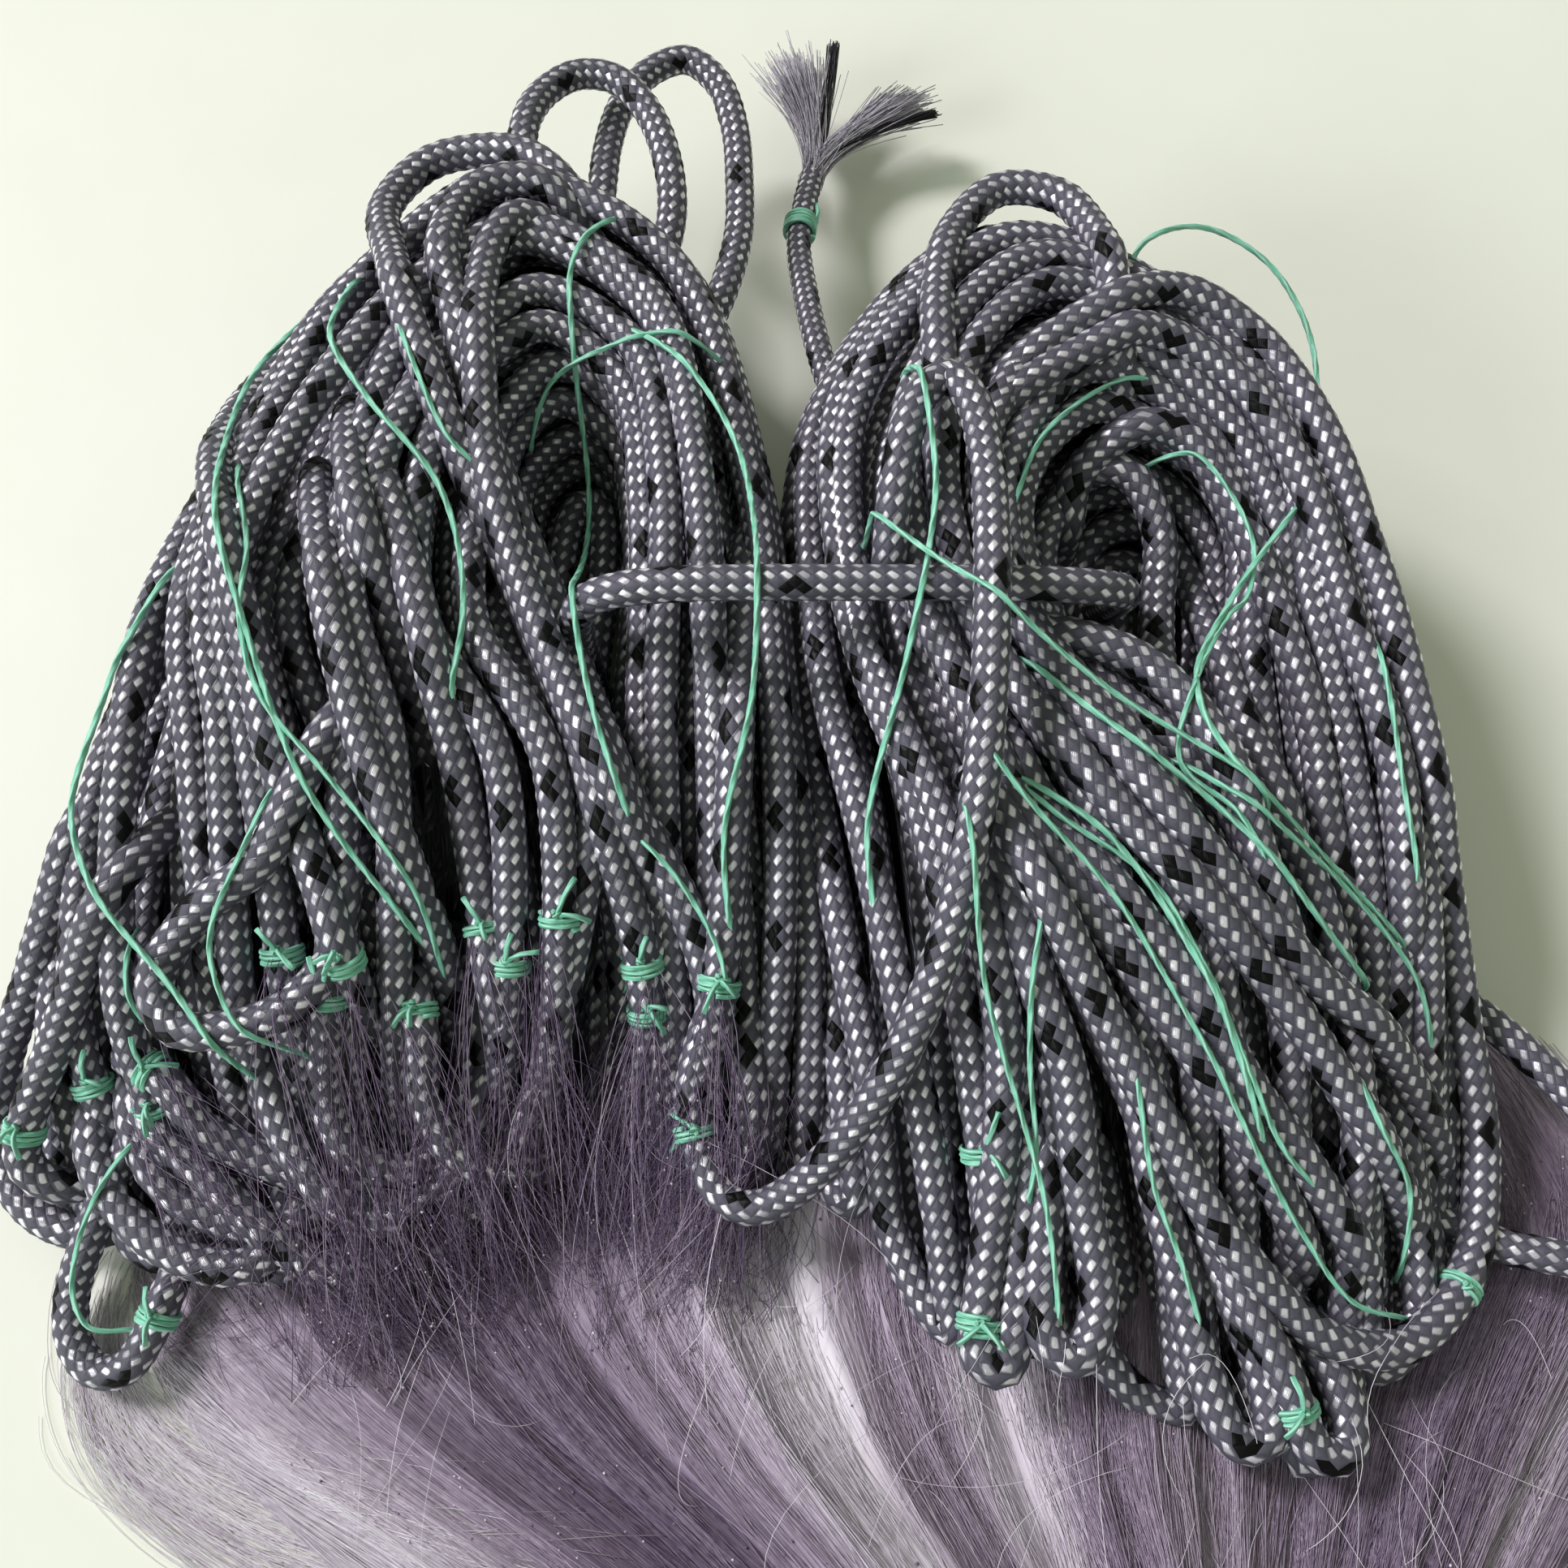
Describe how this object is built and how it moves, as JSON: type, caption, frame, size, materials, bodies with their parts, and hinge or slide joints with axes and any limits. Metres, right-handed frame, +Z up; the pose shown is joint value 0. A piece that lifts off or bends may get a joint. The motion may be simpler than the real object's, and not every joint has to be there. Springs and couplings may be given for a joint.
{
  "type": "fishing net",
  "caption": "Fishing net bundled for storage: braided head line folded into a hank of arched lobes, tied through its eyes, with gathered monofilament webbing flowing out in front.",
  "frame": {"origin": "on the resting face, under the middle of the hank", "axes": "+Z up from the surface that it lies on, +Y along the hank towards its arches, away from the webbing, +X to the right seen from the webbing's side"},
  "size_m": [0.2355, 0.3244, 0.0614],
  "materials": {
    "line": "braided synthetic line with black tracer yarns",
    "twine": "green multifilament twine",
    "webbing": "fine knotted monofilament, translucent lilac grey"
  },
  "bodies": {
    "root": {"line_hank": "line", "net_webbing": "webbing", "hank_tie": "line", "top_bight_inner": "line", "top_bight_outer": "line", "front_bight": "line", "left_bight": "line", "right_bight": "line", "tail_line": "line", "tail_whipping": "twine", "tail_fray": "line", "twine_left_rim": "twine", "twine_left_edge": "twine", "twine_left_mid": "twine", "twine_left_eye": "twine", "twine_centre": "twine", "twine_middle": "twine", "twine_fan_upper": "twine", "twine_fan_lower": "twine", "twine_right_leg": "twine", "twine_right_rim": "twine"}
  },
  "joints": []
}
